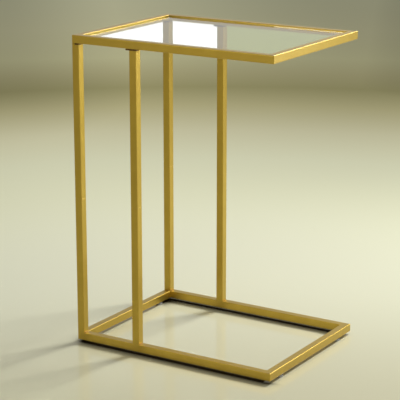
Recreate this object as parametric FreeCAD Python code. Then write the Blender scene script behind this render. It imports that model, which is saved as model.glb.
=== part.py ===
import FreeCAD, Part
import math
import os

os.makedirs("parts", exist_ok=True)

V = FreeCAD.Vector
X_AXIS, Y_AXIS, Z_AXIS = V(1, 0, 0), V(0, 1, 0), V(0, 0, 1)

# C shaped side table: a welded base frame, four posts near one end, a top frame that reaches
# out over the open end, and a clear glass panel set into the top frame.
# Millimetres. X runs from the closed end to the open end, Y from front to back, Z up.
# The origin is on the floor under the middle of the table.

# ---- driving dimensions ---------------------------------------------------------------
WIDTH = 453.0            # outside of both frames, closed end to open end
DEPTH = 339.0            # outside of both frames, front to back
HEIGHT = 635.0           # floor to the top of the top frame
FLOOR_GAP = 6.0          # floor to the underside of the base frame, feet screwed right in

TUBE = 16.0              # side of the square tube
WALL = 1.0               # its wall
TUBE_ROUND = 1.5         # its outer corner radius, and that of the ground frame corners

INNER_POST_PITCH = 135.0  # closed end to the near face of the inner pair of posts
SEAM_HEIGHT = 305.0      # floor to the joint in each post
SEAM_CHAMFER = 0.4       # broken edge on both tubes at that joint
COPE_LIP = 0.4           # the coped foot of a post stops this far above the tube's side tangent

GLASS_THICK = 5.0
GLASS_RECESS = 3.0       # top of the frame down to the top of the glass
GLASS_GAP = 1.0          # glass edge to the tube, all round
GLASS_CORNER = 3.0       # plan radius of the glass corners
GLASS_ARRIS = 0.5        # polished chamfer on the glass edges

LEDGE_LEG = 30.0         # corner ledge, along each rail
LEDGE_BLUNT = 6.0        # width of its cut-off tips
LEDGE_THICK = 2.0
BUMPER_R = 4.0
BUMPER_THICK = 1.5
BUMPER_ROUND = 0.9
BUMPER_INSET = 10.0      # bumper centre from each rail

PLATE_THICK = 3.0        # head plate between a post and the top frame
PLATE_TAB = 8.5          # how far it reaches past the post, for its screw
PLATE_INSET = 0.8        # set back from the post's outer faces
CORNER_PLATE_INSET = 6.5  # set back from the closed end on the corner posts
PLATE_NOTCH_PLAY = 0.3   # from there to the wall that a corner post keeps beside its plate

SCREW_R = 2.0            # M4 countersunk screws, hexagon socket
SCREW_HEAD_R = 3.75
SCREW_SOCKET_AF = 2.5
SCREW_SOCKET_DEEP = 1.3
HEAD_SCREW_LONG = 12.0
JOINER_SCREW_LONG = 8.0
SCREW_PLAY = 0.05        # around a screw in its thread and in its countersink
SCREW_HOLE_PLAY = 0.2    # around a screw in a plain hole

TOP_NUT_R = 3.0          # M4 rivet nut, flush in the underside of a top rail
TOP_NUT_LONG = 10.0
TOP_NUT_BULGE = 0.5

JOINER_REACH = 40.0      # how far a joiner reaches into each half of a post
JOINER_WALL = 3.0
JOINER_PLAY = 0.2        # on each side in the upper half, which slides over it
JOINER_SCREW_RISE = 20.0  # joint to the screw that locks the upper half

FOOT_OFFSET = 50.0       # foot centre from the front or the back of the frame
PAD_R = 8.0
PAD_TOP_R = 7.5
PAD_HIGH = 3.8
PAD_ROUND = 0.7
SOCKET_R = 4.1           # cavity in the pad that holds the stud's swivel disc
SOCKET_FLOOR = 1.2
SOCKET_HIGH = 1.4
PAD_PLAY = 0.1           # between pad and stud, all round
COLLAR_AF = 8.0          # hexagon collar for a spanner
COLLAR_HIGH = 1.2
STUD_R = 2.95            # M6 stud
STUD_TIP_CHAMFER = 0.6
STUD_TOP = 19.5
FOOT_NUT_R = 4.5         # M6 rivet nut in the underside of a base rail
FOOT_NUT_BORE_R = 3.0
FOOT_NUT_FLANGE_R = 6.0
FOOT_NUT_FLANGE = 0.6
FOOT_NUT_TOP = 18.5
FOOT_NUT_BULGE = 1.0
NUT_BULGE_HIGH = 1.6

# ---- derived places -------------------------------------------------------------------
HALF_W, HALF_D = WIDTH / 2, DEPTH / 2
INNER_W, INNER_D = HALF_W - TUBE, HALF_D - TUBE
BORE = TUBE - 2 * WALL
BORE_ROUND = TUBE_ROUND - WALL

BASE_LOW = FLOOR_GAP
BASE_HIGH = BASE_LOW + TUBE
TOP_LOW = HEIGHT - TUBE
PLATE_LOW = TOP_LOW - PLATE_THICK
GLASS_HIGH = HEIGHT - GLASS_RECESS
GLASS_LOW = GLASS_HIGH - GLASS_THICK
BUMPER_LOW = GLASS_LOW - BUMPER_THICK
LEDGE_LOW = BUMPER_LOW - LEDGE_THICK

POST_X = {"corner": -HALF_W, "inner": -HALF_W + INNER_POST_PITCH}
SIDES = {"front": -1, "back": 1}
ENDS = {"left": -1, "right": 1}


# ---- helpers --------------------------------------------------------------------------
def save(name, *solids):
    """Write one node, as one solid or as a group of separate solids."""
    for solid in solids:
        assert solid.isValid() and len(solid.Solids) == 1, name
    shape = solids[0] if len(solids) == 1 else Part.makeCompound(list(solids))
    shape.exportStep("parts/" + name + ".step")


def one_solid(shape):
    """The only solid in a boolean's result."""
    assert len(shape.Solids) == 1
    return shape.Solids[0]


def rounded_bar(low, high, axis, radius):
    """Box from low to high with its four edges along axis rounded."""
    size = high.sub(low)
    box = Part.makeBox(size.x, size.y, size.z, low)
    along = [e for e in box.Edges if abs(e.tangentAt(e.FirstParameter).dot(axis)) > 0.99]
    return box.makeFillet(radius, along)


def across(axis, amount):
    """A vector of amount in the two directions across an axis."""
    return V(amount * (1 - axis.x), amount * (1 - axis.y), amount * (1 - axis.z))


def tube_bore(low, high, axis):
    """The space inside a square tube."""
    wall = across(axis, WALL)
    return rounded_bar(low.add(wall), high.sub(wall), axis, BORE_ROUND)


def cylinder(radius, low, high, x=0.0, y=0.0):
    """Upright cylinder from height low to high."""
    return Part.makeCylinder(radius, high - low, V(x, y, low), Z_AXIS)


def hexagon_bar(across_flats, low, high):
    """Upright hexagonal bar on the Z axis."""
    corner_r = across_flats / math.sqrt(3)
    corners = [V(corner_r * math.cos(math.radians(a)), corner_r * math.sin(math.radians(a)), low)
               for a in range(0, 361, 60)]
    return Part.Face(Part.makePolygon(corners)).extrude(V(0, 0, high - low))


def mirrored(shape, side):
    """The shape made for the front, or its mirror image for the back."""
    return shape if side < 0 else shape.mirror(V(0, 0, 0), Y_AXIS)


# ---- frames ---------------------------------------------------------------------------
def rail_outline(place, low):
    """Mitred outline of one frame rail, with the frame's corners rounded."""
    outer = [V(-HALF_W, -HALF_D, low), V(HALF_W, -HALF_D, low),
             V(HALF_W, HALF_D, low), V(-HALF_W, HALF_D, low)]
    inner = [V(-INNER_W, -INNER_D, low), V(INNER_W, -INNER_D, low),
             V(INNER_W, INNER_D, low), V(-INNER_W, INNER_D, low)]
    first = ("front", "right", "back", "left").index(place)
    second = (first + 1) % 4
    corners = [outer[first], outer[second], inner[second], inner[first], outer[first]]
    wedge = Part.Face(Part.makePolygon(corners)).extrude(V(0, 0, TUBE))
    frame = rounded_bar(outer[0], outer[2].add(V(0, 0, TUBE)), Z_AXIS, TUBE_ROUND)
    return wedge.common(frame)


def rail_ends(place, low):
    """Axis and opposite corners of the straight tube that a rail is cut from."""
    if place in SIDES:
        y = -HALF_D if place == "front" else INNER_D
        return X_AXIS, V(-HALF_W, y, low), V(HALF_W, y + TUBE, low + TUBE)
    x = -HALF_W if place == "left" else INNER_W
    return Y_AXIS, V(x, -HALF_D, low), V(x + TUBE, HALF_D, low + TUBE)


def solid_rail(place, low):
    """A rail without its bore, as the coped feet of the posts meet it."""
    axis, start, end = rail_ends(place, low)
    return one_solid(rounded_bar(start, end, axis, TUBE_ROUND).common(rail_outline(place, low)))


def rail(place, low, nut_holes=(), hole_r=0.0):
    """One mitred rail, with holes through its lower wall at (x, y)."""
    axis, start, end = rail_ends(place, low)
    shape = solid_rail(place, low).cut(tube_bore(start, end, axis))
    for x, y in nut_holes:
        shape = shape.cut(cylinder(hole_r, low - 1, low + WALL + 1, x, y))
    return one_solid(shape)


# ---- posts ----------------------------------------------------------------------------
def post_corners(kind, low, high):
    """Opposite corners of a front post's tube."""
    x = POST_X[kind]
    return V(x, -HALF_D, low), V(x + TUBE, -INNER_D, high)


def post_middle(kind):
    return POST_X[kind] + TUBE / 2, -HALF_D + TUBE / 2


def post_tube(kind, low, high, seam):
    """Front post half from low to high, with a broken edge at the joint."""
    start, end = post_corners(kind, low, high)
    outer = rounded_bar(start, end, Z_AXIS, TUBE_ROUND)
    rim = [e for e in outer.Edges if all(abs(v.Z - seam) < 0.01 for v in e.Vertexes)]
    return outer.makeChamfer(SEAM_CHAMFER, rim).cut(tube_bore(start, end, Z_AXIS))


def lower_post(kind):
    """Lower half of a front post, its foot coped over the rounded edges of the base rails."""
    foot = BASE_HIGH - TUBE_ROUND + COPE_LIP
    shape = post_tube(kind, foot, SEAM_HEIGHT, SEAM_HEIGHT)
    shape = shape.cut(solid_rail("front", BASE_LOW))
    if kind == "corner":
        shape = shape.cut(solid_rail("left", BASE_LOW))
    return one_solid(shape)


def upper_post(kind):
    """Upper half of a front post, with the countersunk hole for its locking screw."""
    shape = post_tube(kind, SEAM_HEIGHT, TOP_LOW, SEAM_HEIGHT).cut(plate_notch(kind))
    return one_solid(shape.cut(place_joiner_screw(screw_hole(WALL), kind)))


def plate_notch(kind):
    """What the head plate takes from the top of a post. A corner post keeps its outer wall."""
    kept = CORNER_PLATE_INSET - PLATE_NOTCH_PLAY if kind == "corner" else 0.0
    low = V(POST_X[kind] + kept, -HALF_D, PLATE_LOW)
    return Part.makeBox(TUBE - kept, TUBE, PLATE_THICK, low)


def joiner(kind):
    """Thick tube inside the joint: tight in the lower half, a sliding fit in the upper half."""
    low, high = SEAM_HEIGHT - JOINER_REACH, SEAM_HEIGHT + JOINER_REACH
    start, end = post_corners(kind, low, high)
    wall = across(Z_AXIS, WALL)
    tight = rounded_bar(start.add(wall), V(end.x - WALL, end.y - WALL, SEAM_HEIGHT), Z_AXIS, BORE_ROUND)
    play = across(Z_AXIS, WALL + JOINER_PLAY)
    slide_start = V(start.x, start.y, SEAM_HEIGHT).add(play)
    slide = rounded_bar(slide_start, end.sub(play), Z_AXIS, BORE_ROUND)
    hollow = across(Z_AXIS, WALL + JOINER_WALL)
    bore = Part.makeBox(BORE - 2 * JOINER_WALL, BORE - 2 * JOINER_WALL, 2 * JOINER_REACH, start.add(hollow))
    shape = tight.fuse(slide).cut(bore)
    return one_solid(shape.cut(place_joiner_screw(screw_hole(WALL), kind)))


def head_plate(kind):
    """Plate on a front post. Its tab holds the screw that goes up into the top frame."""
    x, y = POST_X[kind], -HALF_D
    if kind == "corner":
        low = V(x + CORNER_PLATE_INSET, y + PLATE_INSET, PLATE_LOW)
        high = V(x + TUBE - PLATE_INSET, y + TUBE + PLATE_TAB, TOP_LOW)
    else:
        low = V(x - PLATE_TAB, y + PLATE_INSET, PLATE_LOW)
        high = V(x + TUBE - PLATE_INSET, y + TUBE - PLATE_INSET, TOP_LOW)
    size = high.sub(low)
    shape = Part.makeBox(size.x, size.y, size.z, low)
    hole = screw_hole(PLATE_THICK)
    hole.translate(head_screw_place(kind))
    return one_solid(shape.cut(hole))


def head_screw_place(kind):
    """Where a head plate's screw starts, at the underside of its tab."""
    x, y = POST_X[kind], -HALF_D
    if kind == "corner":
        middle = x + (CORNER_PLATE_INSET + TUBE - PLATE_INSET) / 2
        return V(middle, y + TUBE + PLATE_TAB / 2, PLATE_LOW)
    return V(x - PLATE_TAB / 2, y + TUBE / 2, PLATE_LOW)


# ---- fasteners ------------------------------------------------------------------------
def screw(length):
    """Countersunk socket screw on the Z axis, head down, its flat face at height 0."""
    head_high = SCREW_HEAD_R - SCREW_R
    head = Part.makeCone(SCREW_HEAD_R, SCREW_R, head_high, V(0, 0, 0), Z_AXIS)
    shank = cylinder(SCREW_R, head_high, length)
    socket = hexagon_bar(SCREW_SOCKET_AF, 0, SCREW_SOCKET_DEEP)
    return one_solid(head.fuse(shank).cut(socket))


def screw_hole(plain):
    """What a screw needs cut: a countersink, a plain hole over that length, then its thread."""
    head_r = SCREW_HEAD_R + SCREW_PLAY
    cone = Part.makeCone(head_r, SCREW_R + SCREW_PLAY, SCREW_HEAD_R - SCREW_R, V(0, 0, 0), Z_AXIS)
    hole = cylinder(SCREW_R + SCREW_HOLE_PLAY, 0, plain)
    thread = cylinder(SCREW_R + SCREW_PLAY, 0, HEAD_SCREW_LONG + 1)
    return cone.fuse([hole, thread])


def place_joiner_screw(shape, kind):
    """Turn a screw or its hole to point in through the closed-end face of a post."""
    x, y = post_middle(kind)
    shape.rotate(V(0, 0, 0), Y_AXIS, 90)
    shape.translate(V(x - TUBE / 2, y, SEAM_HEIGHT + JOINER_SCREW_RISE))
    return shape


def top_rivet_nut(kind):
    """Rivet nut in the top frame, flush below, with its upset bulge inside the tube."""
    place = head_screw_place(kind)
    bulge_low = TOP_LOW + WALL
    body = cylinder(TOP_NUT_R, TOP_LOW, TOP_LOW + TOP_NUT_LONG, place.x, place.y)
    bulge = cylinder(TOP_NUT_R + TOP_NUT_BULGE, bulge_low, bulge_low + NUT_BULGE_HIGH, place.x, place.y)
    bore = cylinder(SCREW_R + SCREW_PLAY, TOP_LOW, TOP_LOW + TOP_NUT_LONG, place.x, place.y)
    return one_solid(body.fuse(bulge).cut(bore))


def foot_rivet_nut():
    """Rivet nut for a foot, on the Z axis, with its flange below the base rail."""
    bulge_low = BASE_LOW + WALL
    body = cylinder(FOOT_NUT_R, BASE_LOW, FOOT_NUT_TOP)
    flange = cylinder(FOOT_NUT_FLANGE_R, BASE_LOW - FOOT_NUT_FLANGE, BASE_LOW)
    bulge = cylinder(FOOT_NUT_R + FOOT_NUT_BULGE, bulge_low, bulge_low + NUT_BULGE_HIGH)
    bore = cylinder(FOOT_NUT_BORE_R, BASE_LOW - FOOT_NUT_FLANGE, FOOT_NUT_TOP)
    return one_solid(body.fuse([flange, bulge]).cut(bore))


# ---- levelling feet -------------------------------------------------------------------
def foot_pad():
    """Moulded pad on the Z axis, with an undercut cavity for the stud's swivel disc."""
    outline = Part.makePolygon([V(0, 0, 0), V(PAD_R, 0, 0), V(PAD_TOP_R, 0, PAD_HIGH),
                                V(0, 0, PAD_HIGH), V(0, 0, 0)])
    body = Part.Face(outline).revolve(V(0, 0, 0), Z_AXIS, 360)
    rims = [e for e in body.Edges if isinstance(e.Curve, Part.Circle)]
    body = body.makeFillet(PAD_ROUND, rims)
    mouth_r = STUD_R + PAD_PLAY
    cavity = cylinder(SOCKET_R, SOCKET_FLOOR, SOCKET_FLOOR + SOCKET_HIGH)
    return one_solid(body.cut(cavity.fuse(cylinder(mouth_r, SOCKET_FLOOR, PAD_HIGH))))


def foot_stud():
    """Stud on the Z axis: swivel disc in the pad, hexagon collar, threaded shank."""
    collar_low = PAD_HIGH + PAD_PLAY
    collar_high = collar_low + COLLAR_HIGH
    disc = cylinder(SOCKET_R - PAD_PLAY, SOCKET_FLOOR + PAD_PLAY, SOCKET_FLOOR + SOCKET_HIGH - PAD_PLAY)
    shank = cylinder(STUD_R, SOCKET_FLOOR + PAD_PLAY, STUD_TOP)
    tip = [e for e in shank.Edges if isinstance(e.Curve, Part.Circle) and e.BoundBox.ZMin > STUD_TOP - 0.01]
    shank = shank.makeChamfer(STUD_TIP_CHAMFER, tip)
    return one_solid(shank.fuse([disc, hexagon_bar(COLLAR_AF, collar_low, collar_high)]))


def foot_place(side, end):
    """Foot centre in plan, under the middle of a short rail."""
    return V(end * (HALF_W - TUBE / 2), side * (HALF_D - FOOT_OFFSET), 0)


def at_foot(shape, side, end):
    """A foot piece made on the Z axis, moved to its place."""
    moved = shape.copy()
    moved.translate(foot_place(side, end))
    return moved


# ---- glass and what carries it --------------------------------------------------------
def glass_panel():
    """Clear panel with rounded corners and polished edges."""
    reach = V(INNER_W - GLASS_GAP, INNER_D - GLASS_GAP, 0)
    low, high = V(-reach.x, -reach.y, GLASS_LOW), V(reach.x, reach.y, GLASS_HIGH)
    panel = rounded_bar(low, high, Z_AXIS, GLASS_CORNER)
    level = [e for e in panel.Edges if e.BoundBox.ZLength < 0.01]
    return panel.makeChamfer(GLASS_ARRIS, level)


def corner_ledge(side, end):
    """Flat gusset welded into a corner of the top frame, under the glass."""
    corners = [(0, 0), (LEDGE_LEG, 0), (LEDGE_LEG, LEDGE_BLUNT), (LEDGE_BLUNT, LEDGE_LEG),
               (0, LEDGE_LEG), (0, 0)]
    points = [V(end * (INNER_W - a), side * (INNER_D - b), LEDGE_LOW) for a, b in corners]
    return Part.Face(Part.makePolygon(points)).extrude(V(0, 0, LEDGE_THICK))


def glass_bumper(side, end):
    """Soft clear disc between a ledge and the glass."""
    x, y = end * (INNER_W - BUMPER_INSET), side * (INNER_D - BUMPER_INSET)
    disc = cylinder(BUMPER_R, BUMPER_LOW, GLASS_LOW, x, y)
    rim = [e for e in disc.Edges if isinstance(e.Curve, Part.Circle) and e.BoundBox.ZMin > GLASS_LOW - 0.01]
    return disc.makeFillet(BUMPER_ROUND, rim)


# ---- build ----------------------------------------------------------------------------
head_places = [head_screw_place(kind) for kind in POST_X]
nut_centres = {name: [] for name in ("top_front_rail", "top_back_rail", "top_left_rail")}
for side_name, side in SIDES.items():
    for kind, place in zip(POST_X, head_places):
        holder = "top_left_rail" if kind == "corner" else "top_" + side_name + "_rail"
        nut_centres[holder].append((place.x, -side * place.y))

for place in ("front", "back", "left", "right"):
    name = "top_" + place + "_rail"
    save(name, rail(place, TOP_LOW, nut_centres.get(name, ()), TOP_NUT_R))
    foot_centres = []
    if place in ENDS:
        foot_centres = [(foot_place(side, ENDS[place]).x, foot_place(side, ENDS[place]).y)
                        for side in SIDES.values()]
    save("base_" + place + "_rail", rail(place, BASE_LOW, foot_centres, FOOT_NUT_R))

for side_name, side in SIDES.items():
    for kind in POST_X:
        where = side_name + "_" + kind
        save("lower_post_" + where, mirrored(lower_post(kind), side))
        save("upper_post_" + where, mirrored(upper_post(kind), side))
        save("post_joiner_" + where, mirrored(joiner(kind), side))
        save("head_plate_" + where, mirrored(head_plate(kind), side))

head_screws, joiner_screws, top_nuts = [], [], []
for side in SIDES.values():
    for kind in POST_X:
        head_screw = screw(HEAD_SCREW_LONG)
        head_screw.translate(head_screw_place(kind))
        head_screws.append(mirrored(head_screw, side))
        joiner_screws.append(mirrored(place_joiner_screw(screw(JOINER_SCREW_LONG), kind), side))
        top_nuts.append(mirrored(top_rivet_nut(kind), side))
save("head_plate_screws", *head_screws)
save("post_joiner_screws", *joiner_screws)
save("top_frame_rivet_nuts", *top_nuts)

foot_nuts, bumpers = [], []
for side_name, side in SIDES.items():
    for end_name, end in ENDS.items():
        where = side_name + "_" + end_name
        save("foot_pad_" + where, at_foot(foot_pad(), side, end))
        save("foot_stud_" + where, at_foot(foot_stud(), side, end))
        save("glass_ledge_" + where, corner_ledge(side, end))
        foot_nuts.append(at_foot(foot_rivet_nut(), side, end))
        bumpers.append(glass_bumper(side, end))
save("foot_rivet_nuts", *foot_nuts)
save("glass_bumpers", *bumpers)
save("glass_panel", glass_panel())
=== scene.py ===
"""Finishes, small machined parts, glass, studio and camera for the C shaped side table.

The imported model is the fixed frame. Its tubes, plates, ledges, joiners and upper rivet nuts keep
their own meshes and get finishes here. The feet with their rivet nuts, the screws, the bumpers and
the glass are modelled anew with the detail that their plain solids leave out, and the weld beads
are added. Everything is in metres.
"""
import logging
import math
from collections.abc import Callable, Iterator, Sequence
from contextlib import contextmanager
from dataclasses import dataclass
from enum import Enum
from typing import Any, Union

import bmesh
import bpy
from mathutils import Matrix, Vector


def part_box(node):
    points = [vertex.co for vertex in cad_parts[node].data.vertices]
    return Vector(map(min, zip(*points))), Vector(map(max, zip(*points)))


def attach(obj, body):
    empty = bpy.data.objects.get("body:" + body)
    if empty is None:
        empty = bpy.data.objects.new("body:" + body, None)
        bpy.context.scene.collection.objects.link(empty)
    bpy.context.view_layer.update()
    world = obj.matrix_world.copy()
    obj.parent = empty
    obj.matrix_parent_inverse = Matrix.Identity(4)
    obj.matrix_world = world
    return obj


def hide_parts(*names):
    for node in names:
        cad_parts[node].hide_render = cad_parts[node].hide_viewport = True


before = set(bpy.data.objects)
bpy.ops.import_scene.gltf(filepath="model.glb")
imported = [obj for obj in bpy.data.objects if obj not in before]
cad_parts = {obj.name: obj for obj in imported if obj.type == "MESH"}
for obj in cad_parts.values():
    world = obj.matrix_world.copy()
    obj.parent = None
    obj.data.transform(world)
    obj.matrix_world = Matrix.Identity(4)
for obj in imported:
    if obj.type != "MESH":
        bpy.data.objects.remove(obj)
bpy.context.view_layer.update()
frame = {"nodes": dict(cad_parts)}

log = logging.getLogger("side_table")

Colour = tuple[float, float, float]
Point = tuple[float, float, float]
Pair = tuple[float, float]
BLACK = (0.0, 0.0, 0.0)
NOISE_MIDDLE = 0.5
MM = 0.001
TOUCHING = 1e-6  # metres between heights that count as the same
DOUBLED = 1e-7  # metres between points that are merged
FLAT_ON = 0.99  # a level face's normal has a Z above this
UPRIGHT = 0.3  # and an upright face's normal has one below this
MANY_CORNERS = 8  # a round end face has more than these
HEXAGON = (6, 30.0)  # sides, and turn about Z in degrees


class Axis(Enum):
    """The direction that a tube runs in."""

    X = 0
    Y = 1
    Z = 2


class Corner(Enum):
    """A corner of the table, by the two words that its node names use, and its signs in X and Y."""

    FRONT_LEFT = ("front_left", -1, -1)
    FRONT_RIGHT = ("front_right", 1, -1)
    BACK_LEFT = ("back_left", -1, 1)
    BACK_RIGHT = ("back_right", 1, 1)

    @property
    def word(self) -> str:
        """The corner's name as node names spell it."""
        return self.value[0]


class Post(Enum):
    """One of the four posts: its name, which way is inwards in Y, and whether it is a corner post."""

    FRONT_CORNER = ("front_corner", 1, True)
    FRONT_INNER = ("front_inner", 1, False)
    BACK_CORNER = ("back_corner", -1, True)
    BACK_INNER = ("back_inner", -1, False)

    @property
    def word(self) -> str:
        """The post's name as node names spell it."""
        return self.value[0]

    @property
    def inwards(self) -> int:
        """The sign of Y that points to the middle of the table."""
        return self.value[1]

    @property
    def at_corner(self) -> bool:
        """Whether the post stands in a corner of the base frame."""
        return self.value[2]


# ---- shader maths ---------------------------------------------------------------------
class Signal:
    """An output socket that takes part in Python arithmetic, each step adding one Math node."""

    def __init__(self, graph: "Graph", socket: bpy.types.NodeSocket) -> None:
        """Wrap one output of a node.

        Args:
            graph: the graph that the node belongs to.
            socket: the output.
        """
        self.graph = graph
        self.socket = socket

    def output(self, name: Union[str, int]) -> "Signal":
        """Another output of the same node."""
        return Signal(self.graph, self.socket.node.outputs[name])

    def maths(self, operation: str, first: "Number", second: "Number" = 0.0) -> "Signal":
        """Add a Math node.

        Args:
            operation: the node's operation.
            first: its first value.
            second: its second value, which one-sided operations ignore.

        Returns:
            The result.
        """
        return self.graph.node("Math", {"operation": operation}, {0: first, 1: second})

    def __add__(self, other: "Number") -> "Signal":
        """self + other."""
        return self.maths("ADD", self, other)

    def __radd__(self, other: "Number") -> "Signal":
        """other + self."""
        return self.maths("ADD", other, self)

    def __sub__(self, other: "Number") -> "Signal":
        """self - other."""
        return self.maths("SUBTRACT", self, other)

    def __rsub__(self, other: "Number") -> "Signal":
        """other - self."""
        return self.maths("SUBTRACT", other, self)

    def __mul__(self, other: "Number") -> "Signal":
        """self * other."""
        return self.maths("MULTIPLY", self, other)

    def __rmul__(self, other: "Number") -> "Signal":
        """other * self."""
        return self.maths("MULTIPLY", other, self)

    def __abs__(self) -> "Signal":
        """The size of the signal without its sign."""
        return self.maths("ABSOLUTE", self)

    def larger(self, other: "Number") -> "Signal":
        """The larger of this and another value."""
        return self.maths("MAXIMUM", self, other)

    def swing(self, amount: float) -> "Signal":
        """How far noise lies from its middle, times an amount."""
        return (self - NOISE_MIDDLE) * amount

    def step(self, low: float, high: float) -> "Signal":
        """A smooth step from 0 at low to 1 at high, or falling where low is above high."""
        start, end = (0.0, 1.0) if low < high else (1.0, 0.0)
        ends = {"Value": self, "From Min": min(low, high), "From Max": max(low, high),
                "To Min": start, "To Max": end}
        return self.graph.node("MapRange", {"interpolation_type": "SMOOTHSTEP"}, ends)


Number = Union[float, Signal]


class Graph:
    """The node graph of one material or of the world."""

    def __init__(self, tree: bpy.types.NodeTree) -> None:
        """Start with an empty graph."""
        self.tree = tree
        tree.nodes.clear()

    def node(self, kind: str, settings: dict[str, Any], sockets: dict[Union[str, int], Any],
             output: Union[str, int] = 0) -> Union[Signal, None]:
        """Add any node.

        Args:
            kind: the node's type, without its ShaderNode prefix.
            settings: its own properties, or the stops of a colour ramp as (place, colour) pairs.
            sockets: the value or the signal for each input, by name or number.
            output: the output to return.

        Returns:
            That output, or None from a node that has none.
        """
        made = self.tree.nodes.new("ShaderNode" + kind)
        for name, value in settings.items():
            if name == "stops":
                self._set_stops(made.color_ramp, value)
            else:
                setattr(made, name, value)
        for name, value in sockets.items():
            self._feed(made.inputs[name], value)
        return Signal(self, made.outputs[output]) if len(made.outputs) else None

    @staticmethod
    def _set_stops(ramp: bpy.types.ColorRamp, stops: Sequence[tuple[float, Colour]]) -> None:
        """Give a ramp its stops, in rising order."""
        while len(ramp.elements) < len(stops):
            ramp.elements.new(1.0)
        for element, (place, colour) in zip(ramp.elements, stops):
            element.position = place
            element.color = (*colour, 1.0)

    def _feed(self, socket: bpy.types.NodeSocket, value: Any) -> None:
        """Link a signal to an input, or set the input's own value."""
        if isinstance(value, Signal):
            self.tree.links.new(value.socket, socket)
        elif socket.type == "RGBA" and len(value) == 3:
            socket.default_value = (*value, 1.0)
        else:
            socket.default_value = value

    def place(self, stretch: Point = (1.0, 1.0, 1.0)) -> Signal:
        """Object coordinates, in metres, multiplied by a factor for each axis."""
        coordinates = self.node("TexCoord", {}, {}, "Object")
        return self.node("Mapping", {}, {"Vector": coordinates, "Scale": stretch})

    def noise(self, where: Signal, scale: float, detail: float = 2.0) -> Signal:
        """Noise from 0 to 1, near 0.5 on average."""
        return self.node("TexNoise", {}, {"Vector": where, "Scale": scale, "Detail": detail})

    def speckle(self, size: float, detail: float = 2.0) -> Signal:
        """Noise over the object whose features have a size in metres."""
        return self.noise(self.place(), 1.0 / size, detail)

    def mix(self, first: Any, second: Any, share: Number) -> Signal:
        """A colour between two colours, by the share of the second."""
        return self.node("Mix", {"data_type": "RGBA"}, {0: share, 6: first, 7: second}, 2)

    def bump(self, height: Number, strength: float, distance: float) -> Signal:
        """A normal that follows a height map."""
        return self.node("Bump", {}, {"Height": height, "Strength": strength, "Distance": distance})

    def principled(self, sockets: dict[str, Any]) -> Signal:
        """The all-round surface shader, with some of its inputs set."""
        return self.node("BsdfPrincipled", {}, sockets)

    def surface(self, shader: Signal) -> None:
        """Make a shader the graph's result."""
        world = isinstance(self.tree.id_data, bpy.types.World)
        self.node("OutputWorld" if world else "OutputMaterial", {}, {"Surface": shader})


# ---- finishes -------------------------------------------------------------------------
class Finish:
    """A procedural material that is made once and shared by the pieces that have it."""

    slot: str

    @property
    def title(self) -> str:
        """The material's name."""
        return self.slot

    def shade(self, graph: Graph) -> Signal:
        """Build the nodes and return the shader."""
        raise NotImplementedError

    def material(self) -> bpy.types.Material:
        """The material, made on its first use."""
        found = bpy.data.materials.get(self.title + "_finish")
        if found is None:
            found = bpy.data.materials.new(self.title + "_finish")
            found.use_nodes = True
            graph = Graph(found.node_tree)
            graph.surface(self.shade(graph))
        return found

    def dress(self, piece: bpy.types.Object) -> None:
        """Give a piece this finish alone."""
        piece.data.materials.clear()
        piece.data.materials.append(self.material())


@dataclass(frozen=True)
class SatinGold(Finish):
    """Satin gold coating on steel tube: fine lines along the tube, faint clouding, rubbed edges.

    Here and in the finishes below, sizes are in metres, a haze is what something adds to the
    roughness, and a bump is its strength and its depth.
    """

    along: Axis
    slot: str = "satin_gold"
    colour: Colour = (0.60, 0.415, 0.06)
    deep: Colour = (0.56, 0.38, 0.052)
    deepening: Pair = (0.2, 0.8)
    rubbed: Colour = (0.68, 0.50, 0.12)
    rubbing: Pair = (0.3, 0.7)
    rubbed_share: float = 0.3
    roughness: float = 0.36
    line_haze: float = 0.16
    cloud_haze: float = 0.03
    edge_haze: float = 0.2
    metallic: float = 0.9
    coat: float = 0.4
    coat_roughness: float = 0.28
    line_pitch: float = 0.0011
    line_length: float = 0.12
    line_relief: float = 0.7
    cloud_size: float = 0.03
    grain_size: float = 0.0005
    grain_relief: float = 0.3
    edge_turn: Pair = (0.97, 0.8)
    bump: Pair = (0.25, 0.00008)

    @property
    def title(self) -> str:
        """One material for each direction of tube."""
        return self.slot + "_along_" + self.along.name.lower()

    def shade(self, graph: Graph) -> Signal:
        """Colour from clouding and rubbed edges, roughness and normal from the fine lines."""
        stretch = [1.0 / self.line_pitch] * 3
        stretch[self.along.value] = 1.0 / self.line_length
        lines = graph.noise(graph.place(tuple(stretch)), 1.0, 3.0)
        clouds = graph.speckle(self.cloud_size)
        grain = graph.speckle(self.grain_size, 1.0)
        edges = self._edges(graph)
        coated = graph.mix(self.colour, self.deep, clouds.step(*self.deepening))
        colour = graph.mix(coated, self.rubbed, edges * clouds.step(*self.rubbing) * self.rubbed_share)
        roughness = self.roughness + lines.swing(self.line_haze) + clouds.swing(self.cloud_haze)
        relief = lines * self.line_relief + grain * self.grain_relief
        return graph.principled({
            "Base Color": colour, "Metallic": self.metallic,
            "Roughness": roughness + edges * self.edge_haze,
            "Normal": graph.bump(relief, *self.bump),
            "Coat Weight": self.coat, "Coat Roughness": self.coat_roughness})

    def _edges(self, graph: Graph) -> Signal:
        """1 on the rounded edges, whose normals lie between the axes, and 0 on the flats."""
        normal = graph.node("TexCoord", {}, {}, "Normal")
        parts = graph.node("SeparateXYZ", {}, {"Vector": normal})
        flattest = abs(parts).larger(abs(parts.output("Y"))).larger(abs(parts.output("Z")))
        return flattest.step(*self.edge_turn)


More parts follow.
